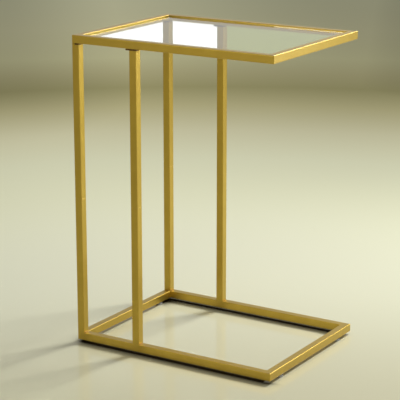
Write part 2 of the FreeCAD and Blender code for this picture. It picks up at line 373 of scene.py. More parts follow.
@dataclass(frozen=True)
class GoldOverWeld(SatinGold):
    """The same coating, darker and browner, on the weld beads."""

    colour: Colour = (0.36, 0.20, 0.025)
    deep: Colour = (0.27, 0.14, 0.015)
    rubbed: Colour = (0.42, 0.25, 0.04)
    roughness: float = 0.42
    cloud_size: float = 0.006

    @property
    def title(self) -> str:
        """Its own material beside the tubes'."""
        return self.slot + "_over_weld_along_" + self.along.name.lower()


@dataclass(frozen=True)
class DarkBronze(Finish):
    """Satin metal on the head plates, painted dark brown: painted shade for the dark line between the posts
    and the top frame.
    """

    slot: str = "dark_bronze"
    # painted shade: near-black brown in place of the plates' gold, for the shadowed line under the top frame
    colour: Colour = (0.115, 0.062, 0.016)
    worn: Colour = (0.17, 0.10, 0.03)
    wear: Pair = (0.4, 0.75)
    roughness: float = 0.42
    grain_haze: float = 0.15
    metallic: float = 0.7
    cloud_size: float = 0.006
    grain_size: float = 0.0004
    bump: Pair = (0.2, 0.00006)

    def shade(self, graph: Graph) -> Signal:
        """Faint clouding over a fine grain."""
        clouds = graph.speckle(self.cloud_size)
        grain = graph.speckle(self.grain_size, 1.0)
        return graph.principled({
            "Base Color": graph.mix(self.colour, self.worn, clouds.step(*self.wear)),
            "Metallic": self.metallic, "Roughness": self.roughness + grain.swing(self.grain_haze),
            "Normal": graph.bump(grain, *self.bump)})


@dataclass(frozen=True)
class PlatedMetal(Finish):
    """Bright plating on turned and pressed parts, with rings left by the tool and a faint bloom."""

    slot: str
    colour: Colour
    bloom: Colour
    roughness: float
    blooming: Pair = (0.35, 0.75)
    ring_haze: float = 0.12
    cloud_haze: float = 0.1
    cloud_size: float = 0.004
    ring_pitch: float = 0.00025
    ring_stretch: float = 80.0
    bump: Pair = (0.15, 0.00004)

    def shade(self, graph: Graph) -> Signal:
        """Colour from the bloom, roughness and normal from level tool rings."""
        clouds = graph.speckle(self.cloud_size)
        stretch = (self.ring_stretch, self.ring_stretch, 1.0 / self.ring_pitch)
        rings = graph.noise(graph.place(stretch), 1.0, 1.0)
        roughness = self.roughness + rings.swing(self.ring_haze) + clouds.swing(self.cloud_haze)
        return graph.principled({
            "Base Color": graph.mix(self.colour, self.bloom, clouds.step(*self.blooming)),
            "Metallic": 1.0, "Roughness": roughness, "Normal": graph.bump(rings, *self.bump)})


@dataclass(frozen=True)
class MouldedPlastic(Finish):
    """Mid-grey moulded plastic with a fine spark-eroded texture."""

    slot: str = "grey_plastic"
    colour: Colour = (0.31, 0.31, 0.30)
    scuffed: Colour = (0.40, 0.39, 0.37)
    scuffing: Pair = (0.5, 0.75)
    roughness: float = 0.5
    scuff_haze: float = 0.2
    grain_size: float = 0.00035
    scuff_size: float = 0.003
    bump: Pair = (0.3, 0.00005)

    def shade(self, graph: Graph) -> Signal:
        """Pits from a cell texture and faint scuffs."""
        pits = graph.node("TexVoronoi", {}, {"Vector": graph.place(), "Scale": 1.0 / self.grain_size})
        scuffs = graph.speckle(self.scuff_size, 3.0)
        return graph.principled({
            "Base Color": graph.mix(self.colour, self.scuffed, scuffs.step(*self.scuffing)),
            "Roughness": self.roughness + scuffs.swing(self.scuff_haze),
            "Normal": graph.bump(pits, *self.bump)})


@dataclass(frozen=True)
class ClearRubber(Finish):
    """Soft clear rubber, slightly cloudy."""

    slot: str = "clear_rubber"
    colour: Colour = (0.86, 0.88, 0.86)
    cloudy: Colour = (0.78, 0.80, 0.77)
    roughness: float = 0.22
    cloud_haze: float = 0.1
    cloud_size: float = 0.003
    clearness: float = 0.7
    index: float = 1.41

    def shade(self, graph: Graph) -> Signal:
        """A rough clear body with faint clouding."""
        clouds = graph.speckle(self.cloud_size)
        return graph.principled({
            "Base Color": graph.mix(self.colour, self.cloudy, clouds),
            "Transmission Weight": self.clearness, "IOR": self.index,
            "Roughness": self.roughness + clouds.swing(self.cloud_haze)})


@dataclass(frozen=True)
class ClearGlass(Finish):
    """Clear float glass that lets light through without a black shadow."""

    slot: str = "clear_glass"
    tint: Colour = (0.965, 0.99, 0.975)
    wiped: Colour = (0.95, 0.98, 0.965)
    smear_size: float = 0.09
    smear_stretch: Point = (1.0, 2.6, 1.0)
    smearing: Pair = (0.5, 0.72)
    smear_haze: float = 0.012
    index: float = 1.5

    def shade(self, graph: Graph) -> Signal:
        """Refracting glass with faint wiping marks, and plain transparency for shadow rays."""
        smears = graph.noise(graph.place(self.smear_stretch), 1.0 / self.smear_size, 3.0)
        marks = smears.step(*self.smearing)
        glass = graph.principled({
            "Base Color": graph.mix(self.tint, self.wiped, marks), "Transmission Weight": 1.0,
            "IOR": self.index, "Roughness": marks * self.smear_haze})
        clear = graph.node("BsdfTransparent", {}, {"Color": self.tint})
        shadow = graph.node("LightPath", {}, {}, "Is Shadow Ray")
        return graph.node("MixShader", {}, {0: shadow, 1: glass, 2: clear})


@dataclass(frozen=True)
class PolishedEdge(ClearGlass):
    """The glass seen through its long way at the polished edge, where it looks green."""

    tint: Colour = (0.62, 0.80, 0.71)
    wiped: Colour = (0.56, 0.76, 0.66)

    @property
    def title(self) -> str:
        """Its own material beside the faces'."""
        return self.slot + "_edge"


BRASS_SCREW = PlatedMetal("gold_screw", (0.74, 0.53, 0.18), (0.62, 0.41, 0.10), 0.26)
ZINC_PLATE = PlatedMetal("plated_steel", (0.62, 0.62, 0.60), (0.52, 0.54, 0.55), 0.30)


# ---- the bench ------------------------------------------------------------------------
def only(piece: bpy.types.Object) -> None:
    """Select one object and make it active."""
    bpy.ops.object.select_all(action="DESELECT")
    piece.select_set(True)
    bpy.context.view_layer.objects.active = piece


class Workpiece:
    """A mesh on the bench. Its object stays at the origin, and operators shape the mesh in place."""

    def __init__(self, name: str) -> None:
        """Take up the primitive that was just added."""
        self.piece = bpy.context.object
        self.piece.name = name
        self.piece.data.name = name
        only(self.piece)
        bpy.ops.object.transform_apply(location=True, rotation=True, scale=True)

    @classmethod
    def disc(cls, name: str, radius: float, height: float, sides: int, turn: float = 0.0) -> "Workpiece":
        """A level round or many-sided face on the Z axis.

        Args:
            name: the piece's name.
            radius: its radius, to the corners.
            height: its place along Z.
            sides: how many sides it has.
            turn: its turn about Z, in degrees.

        Returns:
            The workpiece.
        """
        bpy.ops.object.select_all(action="DESELECT")
        bpy.ops.mesh.primitive_circle_add(
            vertices=sides, radius=radius, fill_type="NGON",
            location=(0.0, 0.0, height), rotation=(0.0, 0.0, math.radians(turn)))
        return cls(name)

    @classmethod
    def turned(cls, name: str, profile: Sequence[Pair], sides: int = 48,
               turn: float = 0.0) -> "Workpiece":
        """A solid on the Z axis, drawn up from a disc by extruding and resizing its top face.

        Args:
            name: the piece's name.
            profile: (radius, height) of each level, from the bottom face to the top face.
            sides: how many sides it has.
            turn: its turn about Z, in degrees.

        Returns:
            The workpiece, closed and with its faces outwards.
        """
        radius, height = profile[0]
        work = cls.disc(name, radius, height, sides, turn)
        with work.editing("FACE"):
            bpy.ops.mesh.select_all(action="SELECT")
            for next_radius, next_height in profile[1:]:
                rise = next_height - height
                bpy.ops.mesh.extrude_region_move(TRANSFORM_OT_translate={"value": (0.0, 0.0, rise)})
                share = next_radius / radius
                bpy.ops.transform.resize(value=(share, share, 1.0), center_override=(0.0, 0.0, next_height))
                radius, height = next_radius, next_height
        work.face_outwards()
        return work

    @contextmanager
    def editing(self, elements: str) -> Iterator[None]:
        """Edit mode on this piece alone, with nothing selected at first.

        Args:
            elements: the select mode: VERT, EDGE or FACE.
        """
        only(self.piece)
        bpy.ops.object.mode_set(mode="EDIT")
        bpy.ops.mesh.select_mode(type=elements)
        bpy.ops.mesh.select_all(action="DESELECT")
        yield
        bpy.ops.object.mode_set(mode="OBJECT")

    def select(self, elements: str, wanted: Callable[[Any], bool]) -> None:
        """Select what passes a test, in edit mode.

        Args:
            elements: verts, edges or faces.
            wanted: the test.
        """
        bpy.ops.mesh.select_all(action="DESELECT")
        mesh = bmesh.from_edit_mesh(self.piece.data)
        for element in getattr(mesh, elements):
            if wanted(element):
                element.select_set(True)
        mesh.select_flush_mode()
        bmesh.update_edit_mesh(self.piece.data)

    def face_outwards(self) -> None:
        """Merge doubled points and turn every face outwards."""
        with self.editing("VERT"):
            bpy.ops.mesh.select_all(action="SELECT")
            bpy.ops.mesh.remove_doubles(threshold=DOUBLED)
            bpy.ops.mesh.normals_make_consistent(inside=False)

    def bevel_edges(self, wanted: Callable[[Any], bool], width: float, segments: int) -> None:
        """Round off the edges that pass a test."""
        with self.editing("EDGE"):
            self.select("edges", wanted)
            bpy.ops.mesh.bevel(offset=width, offset_type="OFFSET", segments=segments, profile=0.5,
                               affect="EDGES", clamp_overlap=True)

    def bevel_levels(self, levels: Sequence[float], width: float, segments: int) -> None:
        """Round off the level rims at the given heights."""
        def on_rim(edge: Any) -> bool:
            """Whether both ends of the edge lie at such a height."""
            return all(any(abs(v.co.z - z) < TOUCHING for z in levels) for v in edge.verts)
        self.bevel_edges(on_rim, width, segments)

    def modify(self, kind: str, **settings: Any) -> None:
        """Add a modifier and apply it.

        Args:
            kind: the modifier's type.
            settings: its own properties.
        """
        only(self.piece)
        modifier = self.piece.modifiers.new(kind.lower(), kind)
        for name, value in settings.items():
            setattr(modifier, name, value)
        bpy.ops.object.modifier_apply(modifier=modifier.name)

    def combine(self, other: "Workpiece", operation: str) -> None:
        """Join, cut or trim with another workpiece, which is used up.

        Args:
            other: the second solid.
            operation: UNION, DIFFERENCE or INTERSECT.
        """
        self.modify("BOOLEAN", operation=operation, solver="EXACT", object=other.piece)
        other.discard()

    def attach(self, other: "Workpiece") -> None:
        """Take in another workpiece as a closed shell of its own, which uses it up."""
        only(self.piece)
        other.piece.select_set(True)
        bpy.ops.object.join()

    def discard(self) -> None:
        """Take the workpiece off the bench with its mesh."""
        mesh = self.piece.data
        bpy.data.objects.remove(self.piece)
        bpy.data.meshes.remove(mesh)

    def smooth(self, angle: float = 32.0) -> None:
        """Shade smooth except across edges sharper than an angle in degrees, and keep large flats flat."""
        only(self.piece)
        bpy.ops.object.shade_smooth_by_angle(angle=math.radians(angle))
        self.modify("WEIGHTED_NORMAL", keep_sharp=True)

    def copy_at(self, name: str, matrix: Matrix) -> bpy.types.Object:
        """A copy with its own mesh, moved within that mesh.

        Args:
            name: the copy's name.
            matrix: where the mesh goes.

        Returns:
            The copy, whose object stays at the origin.
        """
        copy = self.piece.copy()
        copy.data = self.piece.data.copy()
        copy.name = name
        copy.data.name = name
        copy.data.transform(matrix)
        bpy.context.scene.collection.objects.link(copy)
        return copy


def fit(piece: bpy.types.Object, body: str, finish: Finish, nodes: Sequence[str] = ()) -> None:
    """Put a new piece on its body with its finish.

    Args:
        piece: the finished object.
        body: the body that it rides on.
        finish: what it is made of.
        nodes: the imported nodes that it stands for.
    """
    finish.dress(piece)
    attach(piece, body)
    if nodes:
        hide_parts(*nodes)
    log.info("made %s on %s", piece.name, body)


def middle(node: str) -> Vector:
    """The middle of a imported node's box."""
    low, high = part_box(node)
    return (low + high) / 2


def side_of(low: float, high: float, sign: int) -> float:
    """The upper end of a range for a positive sign, and the lower end for a negative one."""
    return high if sign > 0 else low


def hexagon_radius(flats: float) -> float:
    """The radius to a hexagon's corners, from its width across flats."""
    return flats / math.sqrt(3)


@dataclass
class Thread:
    """An outside screw thread with flat crests on the Z axis."""

    crest_radius: float
    pitch: float
    low: float
    high: float
    tip: float
    steps: int = 28
    embed: float = 0.06 * MM
    depth_share: float = 0.56
    foot_share: float = 0.8
    crest_share: float = 0.18
    lead: float = 1.5
    spare_turns: int = 3
    clearance: float = 0.1
    smoothing: float = 28.0

    @property
    def root_radius(self) -> float:
        """The radius between the ridges, whose depth is a share of the pitch."""
        return self.crest_radius - self.depth_share * self.pitch

    def core(self, name: str, low: float) -> Workpiece:
        """The plain core under the ridge, up to the chamfered tip."""
        profile = [(self.root_radius, low), (self.root_radius, self.high - self.tip / 2),
                   (self.root_radius - self.tip / 2, self.high)]
        return Workpiece.turned(name, profile, self.steps)

    def ridge(self) -> Workpiece:
        """The ridge alone: a trapezium swept up the helix and trimmed to the thread's length."""
        depth = self.crest_radius - self.root_radius + self.embed
        centre = self.root_radius - self.embed + depth / 2
        start = self.low - self.lead * self.pitch
        bpy.ops.object.select_all(action="DESELECT")
        bpy.ops.mesh.primitive_plane_add(size=1.0, location=(centre, 0.0, start),
                                         rotation=(math.pi / 2, 0.0, 0.0))
        bpy.ops.transform.resize(value=(depth, 1.0, self.foot_share * self.pitch))
        work = Workpiece("thread_ridge")
        with work.editing("VERT"):
            work.select("verts", lambda v: v.co.x > centre)
            bpy.ops.transform.resize(value=(1.0, 1.0, self.crest_share),
                                     center_override=(self.crest_radius, 0.0, start))
            bpy.ops.mesh.select_all(action="SELECT")
            bpy.ops.mesh.delete(type="ONLY_FACE")
        self._sweep(work)
        work.combine(self._envelope(), "INTERSECT")
        return work

    def _sweep(self, work: Workpiece) -> None:
        """Turn the section up the helix and close both ends."""
        turns = math.ceil((self.high - self.low) / self.pitch) + self.spare_turns
        work.modify("SCREW", axis="Z", angle=math.tau, screw_offset=self.pitch, iterations=turns,
                    steps=self.steps, render_steps=self.steps)
        with work.editing("VERT"):
            bpy.ops.mesh.select_all(action="SELECT")
            bpy.ops.mesh.remove_doubles(threshold=DOUBLED)
            bpy.ops.mesh.fill_holes(sides=4)
            bpy.ops.mesh.normals_make_consistent(inside=False)

    def _envelope(self) -> Workpiece:
        """The space that the ridge may fill, with a lead-in at the bottom and a chamfer at the tip."""
        wide = self.crest_radius + self.clearance * self.pitch
        profile = [(self.root_radius, self.low), (wide, self.low + self.pitch / 2),
                   (wide, self.high - self.tip), (self.root_radius - self.tip / 4, self.high - self.tip / 4)]
        return Workpiece.turned("thread_envelope", profile, self.steps)


# ---- levelling feet -------------------------------------------------------------------
@dataclass
class LevellingFeet:
    """Four levelling feet: moulded pads, threaded studs and the rivet nuts that hold them."""

    pad_radius: float = 8.0 * MM
    pad_top_radius: float = 7.5 * MM
    pad_height: float = 3.8 * MM
    pad_round: float = 0.7 * MM
    pad_round_steps: int = 4
    pad_ribs: int = 24
    faces_per_rib: int = 3
    rib_depth: float = 0.22 * MM
    rib_edge: float = 0.1 * MM
    least_rib_area: float = 0.5 * MM * MM
    sole_rim: float = 1.6 * MM
    sole_hollow: float = 0.35 * MM
    socket_radius: float = 4.1 * MM
    socket_floor: float = 1.2 * MM
    socket_height: float = 1.4 * MM
    play: float = 0.1 * MM
    stud_radius: float = 2.95 * MM
    stud_pitch: float = 1.0 * MM
    stud_top: float = 19.5 * MM
    stud_tip: float = 0.6 * MM
    collar_flats: float = 8.0 * MM
    collar_height: float = 1.2 * MM
    barrel_sides: int = 96
    nut_radius: float = 4.5 * MM
    nut_round: float = 0.2 * MM
    nut_bore: float = 3.0 * MM
    nut_top: float = 18.5 * MM
    flange_radius: float = 6.0 * MM
    flange_height: float = 0.6 * MM
    bulge: float = 1.0 * MM
    bulge_height: float = 1.6 * MM
    tube_wall: float = 1.0 * MM
    floor_gap: float = 6.0 * MM

    def build(self) -> None:
        """Model one of each piece and put a copy at every foot."""
        masters = {"foot_pad": self.pad(), "foot_stud": self.stud()}
        nut = self.rivet_nut()
        bodies = {"foot_pad": "pad_", "foot_stud": "stud_"}
        finishes = {"foot_pad": MouldedPlastic(), "foot_stud": ZINC_PLATE}
        for corner in Corner:
            node = "foot_pad_" + corner.word
            place = Matrix.Translation((middle(node).x, middle(node).y, 0.0))
            for kind, master in masters.items():
                piece = master.copy_at(kind + "_piece_" + corner.word, place)
                fit(piece, bodies[kind] + corner.word, finishes[kind], [kind + "_" + corner.word])
            fit(nut.copy_at("foot_rivet_nut_" + corner.word, place), "table", ZINC_PLATE,
                ["foot_rivet_nuts"])
        for master in (*masters.values(), nut):
            master.discard()

    def pad(self) -> Workpiece:
        """The pad: ribbed rim, hollow sole and the socket that the stud's disc snaps into."""
        sides = self.faces_per_rib * self.pad_ribs
        profile = [(self.pad_radius, 0.0), (self.pad_top_radius, self.pad_height)]
        work = Workpiece.turned("foot_pad_master", profile, sides)
        work.bevel_levels((0.0, self.pad_height), self.pad_round, self.pad_round_steps)
        self._rib(work)
        with work.editing("FACE"):
            work.select("faces", lambda f: f.normal.z < -FLAT_ON and len(f.verts) == sides)
            bpy.ops.mesh.inset(thickness=self.sole_rim, depth=0.0)
            bpy.ops.mesh.inset(thickness=self.sole_hollow, depth=-self.sole_hollow)
        socket_top = self.socket_floor + self.socket_height
        socket = [(self.socket_radius, self.socket_floor), (self.socket_radius, socket_top)]
        mouth_radius, past_the_top = self.stud_radius + self.play, 1.5 * self.pad_height
        mouth = [(mouth_radius, self.socket_floor), (mouth_radius, past_the_top)]
        cavity = Workpiece.turned("socket", socket)
        cavity.combine(Workpiece.turned("mouth", mouth), "UNION")
        work.combine(cavity, "DIFFERENCE")
        work.smooth()
        return work

    def _rib(self, work: Workpiece) -> None:
        """Sink every third face of the rim, which leaves ribs between."""
        step = math.tau / self.pad_ribs

        def sunk(face: Any) -> bool:
            """Whether a face belongs to the rim's band and to a sunk column."""
            centre = face.calc_center_median()
            column = math.atan2(centre.y, centre.x) / step * self.faces_per_rib
            on_rim = face.calc_area() > self.least_rib_area and abs(face.normal.z) < UPRIGHT
            return on_rim and round(column - 0.5) % self.faces_per_rib == 0

        with work.editing("FACE"):
            work.select("faces", sunk)
            bpy.ops.mesh.inset(thickness=self.rib_edge, depth=-self.rib_depth, use_individual=True)

    def stud(self) -> Workpiece:
        """The stud: swivel disc, hexagon collar and M6 thread."""
        low = self.socket_floor + self.play
        collar_low = self.pad_height + self.play
        collar_high = collar_low + self.collar_height
        thread = Thread(self.stud_radius, self.stud_pitch, collar_high, self.stud_top, self.stud_tip)
        work = thread.core("foot_stud_master", low)
        disc_top = self.socket_floor + self.socket_height - self.play
        disc_radius = self.socket_radius - self.play
        neck = [(disc_radius - self.play, low), (disc_radius, low + self.play), (disc_radius, disc_top),
                (self.stud_radius, disc_top), (self.stud_radius, collar_low + self.play)]
        work.combine(Workpiece.turned("disc", neck), "UNION")
        work.combine(self._collar(collar_low, collar_high), "UNION")
        work.face_outwards()
        work.attach(thread.ridge())
        work.smooth(thread.smoothing)
        return work

    def _collar(self, low: float, high: float) -> Workpiece:
        """The hexagon collar with its corners turned down at both ends."""
        corner = hexagon_radius(self.collar_flats)
        work = Workpiece.turned("collar", [(corner, low), (corner, high)], *HEXAGON)
        flat, edge = self.collar_flats / 2, (high - low) / 4
        barrel = [(flat, low), (corner, low + edge), (corner, high - edge), (flat, high)]
        work.combine(Workpiece.turned("barrel", barrel, self.barrel_sides), "INTERSECT")
        return work

    def rivet_nut(self) -> Workpiece:
        """The M6 rivet nut: thin flange below the rail, upset bulge above its wall, plain body."""
        low = self.floor_gap - self.flange_height
        wall_top = self.floor_gap + self.tube_wall
        wide = self.nut_radius + self.bulge
        soft = self.nut_round
        bulge_top = wall_top + self.bulge_height
        profile = [(self.flange_radius - soft, low), (self.flange_radius, low + soft),
                   (self.flange_radius, self.floor_gap), (self.nut_radius, self.floor_gap),
                   (self.nut_radius, wall_top), (wide - soft, wall_top),
                   (wide, wall_top + self.bulge_height / 2), (wide - soft, bulge_top),
                   (self.nut_radius, bulge_top), (self.nut_radius, self.nut_top - soft),
                   (self.nut_radius - soft, self.nut_top)]
        work = Workpiece.turned("foot_rivet_nut_master", profile)
        bore = [(self.nut_bore, low - self.bulge), (self.nut_bore, self.nut_top + self.bulge)]
        work.combine(Workpiece.turned("bore", bore), "DIFFERENCE")
        work.smooth()
        return work


# ---- screws ---------------------------------------------------------------------------
@dataclass
class Screws:
    """M4 countersunk socket screws: four up through the head plates, four in the posts' joints."""

    radius: float = 2.0 * MM
    pitch: float = 0.7 * MM
    head_radius: float = 3.75 * MM
    head_edge: float = 0.15 * MM
    thread_steps: int = 20
    socket_flats: float = 2.5 * MM
    socket_flare: float = 1.12
    socket_point: float = 0.2
    socket_depth: float = 1.3 * MM
    head_screw_length: float = 12.0 * MM
    joint_screw_length: float = 8.0 * MM
    tip: float = 0.5 * MM
    joint_rise: float = 20.0 * MM

    def build(self) -> None:
        """Model both lengths and put them in their holes."""
        long, short = self.screw(self.head_screw_length), self.screw(self.joint_screw_length)
        for post in Post:
            fit(long.copy_at("head_plate_screw_" + post.word, self._head_place(post)), "table",
                BRASS_SCREW, ["head_plate_screws"])
            fit(short.copy_at("post_joiner_screw_" + post.word, self._joint_place(post)), "table",
                BRASS_SCREW, ["post_joiner_screws"])
        long.discard()
        short.discard()

    def screw(self, length: float) -> Workpiece:
        """A screw on the Z axis, its flat head face down at height 0."""
        head_height = self.head_radius - self.radius
        thread = Thread(self.radius, self.pitch, head_height, length, self.tip, self.thread_steps)
        work = thread.core("screw_master", head_height / 2)
        head = [(self.head_radius - self.head_edge, 0.0), (self.head_radius, self.head_edge / 2),
                (self.head_radius, self.head_edge), (self.radius, head_height),
                (thread.root_radius, head_height + self.head_edge)]
        work.combine(Workpiece.turned("head", head), "UNION")
        corner = hexagon_radius(self.socket_flats)
        flared, point = corner * self.socket_flare, corner * self.socket_point
        socket = [(flared, -self.head_edge), (flared, 0.0), (corner, self.head_edge),
                  (corner, self.socket_depth), (point, self.socket_depth + self.head_edge)]
        work.combine(Workpiece.turned("hexagon", socket, *HEXAGON), "DIFFERENCE")
        work.attach(thread.ridge())
        work.smooth(thread.smoothing)
        return work

    @staticmethod
    def _head_place(post: Post) -> Matrix:
        """Where a head plate's screw starts: the middle of the tab, on the plate's underside."""
        plate_low, plate_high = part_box("head_plate_" + post.word)
        post_low, post_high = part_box("upper_post_" + post.word)
        if post.at_corner:
            tab_end = side_of(plate_low.y, plate_high.y, post.inwards)
            post_end = side_of(post_low.y, post_high.y, post.inwards)
            x, y = (plate_low.x + plate_high.x) / 2, (tab_end + post_end) / 2
        else:
            x, y = (plate_low.x + post_low.x) / 2, (post_low.y + post_high.y) / 2
        return Matrix.Translation((x, y, plate_low.z))

    def _joint_place(self, post: Post) -> Matrix:
        """Where a joint's screw goes in, through the post's face at the closed end."""
        low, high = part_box("upper_post_" + post.word)
        start = Vector((low.x, (low.y + high.y) / 2, low.z + self.joint_rise))
        return Matrix.Translation(start) @ Matrix.Rotation(math.pi / 2, 4, "Y")


# ---- welds ----------------------------------------------------------------------------
@dataclass
class WeldBeads:
    """Small rippled fillets that hold the posts to the base frame and the ledges to the top frame."""

    radius: float = 1.3 * MM
    length: float = 12.6 * MM
    ripples: int = 9
    ripple: float = 0.9
    end_share: float = 0.45
    embed: float = 0.25 * MM
    sides: int = 16
    smoothing: float = 50.0
    ledge_inset: float = 9.0 * MM

    def build(self) -> None:
        """Put two beads at the foot of each post and two under each ledge."""
        bead = self.bead()
        rail_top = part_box("base_front_rail")[1].z
        for post in Post:
            low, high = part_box("lower_post_" + post.word)
            centre = (low + high) / 2
            places = [self._turned_to(0.0, Vector((high.x, centre.y, rail_top)))]
            if post.at_corner:
                y = side_of(low.y, high.y, post.inwards)
                places.append(self._turned_to(90.0 * post.inwards, Vector((centre.x, y, rail_top))))
            else:
                places.append(self._turned_to(180.0, Vector((low.x, centre.y, rail_top))))
            self._put(bead, "post_foot_weld_" + post.word, places, Axis.Z)
        for corner in Corner:
            self._put(bead, "glass_ledge_weld_" + corner.word, self._ledge_places(corner), Axis.X)
        bead.discard()

    def _ledge_places(self, corner: Corner) -> list[Matrix]:
        """Two beads below a ledge, one against each of its rails."""
        low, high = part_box("glass_ledge_" + corner.word)
        _, sign_x, sign_y = corner.value
        wall_x, wall_y = side_of(low.x, high.x, sign_x), side_of(low.y, high.y, sign_y)
        flip = Matrix.Rotation(math.pi, 4, "X")
        away = self.ledge_inset + self.length / 2
        along_y = Vector((wall_x, wall_y - sign_y * away, low.z))
        along_x = Vector((wall_x - sign_x * away, wall_y, low.z))
        return [self._turned_to(180.0 if sign_x > 0 else 0.0, along_y) @ flip,
                self._turned_to(-90.0 * sign_y, along_x) @ flip]

    @staticmethod
    def _turned_to(degrees: float, place: Vector) -> Matrix:
        """Turn a bead, which leans to +X, about Z and put it at a place."""
        return Matrix.Translation(place) @ Matrix.Rotation(math.radians(degrees), 4, "Z")

    def _put(self, bead: Workpiece, name: str, places: Sequence[Matrix], along: Axis) -> None:
        """Join copies of the bead into one piece and fit it."""
        copies = [bead.copy_at(name, place) for place in places]
        only(copies[0])
        for copy in copies[1:]:
            copy.select_set(True)
        bpy.ops.object.join()
        copies[0].name = name
        fit(copies[0], "table", GoldOverWeld(along))

    def bead(self) -> Workpiece:
        """A rippled quarter-round bead along Y, in the corner of a wall at X 0 and a floor at Z 0."""
        bpy.ops.object.select_all(action="DESELECT")
        bpy.ops.mesh.primitive_cylinder_add(vertices=self.sides, radius=self.radius, depth=self.length,
                                            rotation=(math.pi / 2, 0.0, 0.0))
        work = Workpiece("weld_bead_master")
        half = self.length / 2
        with work.editing("EDGE"):
            work.select("edges", lambda e: abs(e.verts[0].co.y - e.verts[1].co.y) > half)
            bpy.ops.mesh.subdivide(number_cuts=2 * self.ripples - 1)
        spacing = self.length / (2 * self.ripples)
        narrowings = ((lambda v: round((v.co.y + half) / spacing) % 2 == 1, self.ripple),
                      (lambda v: abs(v.co.y) > half - TOUCHING, self.end_share))
        with work.editing("VERT"):
            for wanted, share in narrowings:
                work.select("verts", wanted)
                bpy.ops.transform.resize(value=(share, 1.0, share), center_override=(0.0, 0.0, 0.0))
        for normal in ((-1.0, 0.0, 0.0), (0.0, 0.0, -1.0)):
            with work.editing("VERT"):
                bpy.ops.mesh.select_all(action="SELECT")
                plane = tuple(self.embed * part for part in normal)
                bpy.ops.mesh.bisect(plane_co=plane, plane_no=normal, use_fill=True, clear_outer=True)
        work.face_outwards()
        work.smooth(self.smoothing)
        return work


# ---- glass ----------------------------------------------------------------------------
@dataclass
class GlassTop:
    """The clear panel with polished edges, and the soft bumpers that it lies on."""

    corner_radius: float = 3.0 * MM
    corner_steps: int = 10
    arris: float = 0.5 * MM
    panel_smoothing: float = 15.0
    bumper_inset: float = 10.0 * MM
    bumper_round: float = 0.9 * MM
    bumper_round_steps: int = 5
    bumper_dimple: float = 0.2 * MM
    bumper_smoothing: float = 40.0

    def build(self) -> None:
        """Model the panel and the bumpers from the boxes of their nodes."""
        self.panel()
        self.bumpers()

    def panel(self) -> None:
        """The panel: a slab whose upright corners are rounded and whose rims are ground to an arris."""
        low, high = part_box("glass_panel")
        bpy.ops.object.select_all(action="DESELECT")
        bpy.ops.mesh.primitive_cube_add(size=1.0, location=(low + high) / 2)
        bpy.ops.transform.resize(value=high - low)
        work = Workpiece("glass_top_panel")
        work.bevel_edges(lambda e: abs(e.verts[0].co.z - e.verts[1].co.z) > self.arris,
                         self.corner_radius, self.corner_steps)
        work.bevel_levels((low.z, high.z), self.arris, 1)
        work.face_outwards()
        work.smooth(self.panel_smoothing)
        fit(work.piece, "table", ClearGlass(), ["glass_panel"])
        work.piece.data.materials.append(PolishedEdge().material())
        for face in work.piece.data.polygons:
            face.material_index = 0 if abs(face.normal.z) > FLAT_ON else 1

    def bumpers(self) -> None:
        """The bumpers: discs with a soft shoulder and a shallow dimple under the glass."""
        low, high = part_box("glass_bumpers")
        ledge_low, ledge_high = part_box("glass_ledge_front_left")
        radius = self.bumper_inset - (low.x - ledge_low.x)
        top = ledge_high.z + (high.z - low.z)
        work = Workpiece.turned("glass_bumper_master", [(radius, ledge_high.z), (radius, top)])
        work.bevel_levels((top,), self.bumper_round, self.bumper_round_steps)
        with work.editing("FACE"):
            work.select("faces", lambda f: f.normal.z > FLAT_ON and len(f.verts) > MANY_CORNERS)
            bpy.ops.mesh.inset(thickness=self.bumper_round, depth=0.0)
            bpy.ops.mesh.inset(thickness=self.bumper_round, depth=-self.bumper_dimple)
        work.smooth(self.bumper_smoothing)
        for corner in Corner:
            _, sign_x, sign_y = corner.value
            x = side_of(low.x + radius, high.x - radius, sign_x)
            y = side_of(low.y + radius, high.y - radius, sign_y)
            bumper = work.copy_at("glass_bumper_" + corner.word, Matrix.Translation((x, y, 0.0)))
            fit(bumper, "table", ClearRubber(), ["glass_bumpers"])
        work.discard()


# ---- frame finishes -------------------------------------------------------------------
@dataclass
class SteelFrame:
    """The tubes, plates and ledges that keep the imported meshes."""

    rails: dict[str, Axis]

    def dress(self) -> None:
        """Give every node that stays its finish."""
        nodes = frame["nodes"]
        for level in ("base", "top"):
            for place, axis in self.rails.items():
                SatinGold(axis).dress(nodes[f"{level}_{place}_rail"])
        for post in Post:
            for half in ("lower", "upper"):
                SatinGold(Axis.Z).dress(nodes[f"{half}_post_{post.word}"])
            DarkBronze().dress(nodes["head_plate_" + post.word])
            ZINC_PLATE.dress(nodes["post_joiner_" + post.word])
        for corner in Corner:
            SatinGold(Axis.X).dress(nodes["glass_ledge_" + corner.word])
        ZINC_PLATE.dress(nodes["top_frame_rivet_nuts"])
        log.info("dressed the tubes, plates, ledges, joiners and upper rivet nuts")


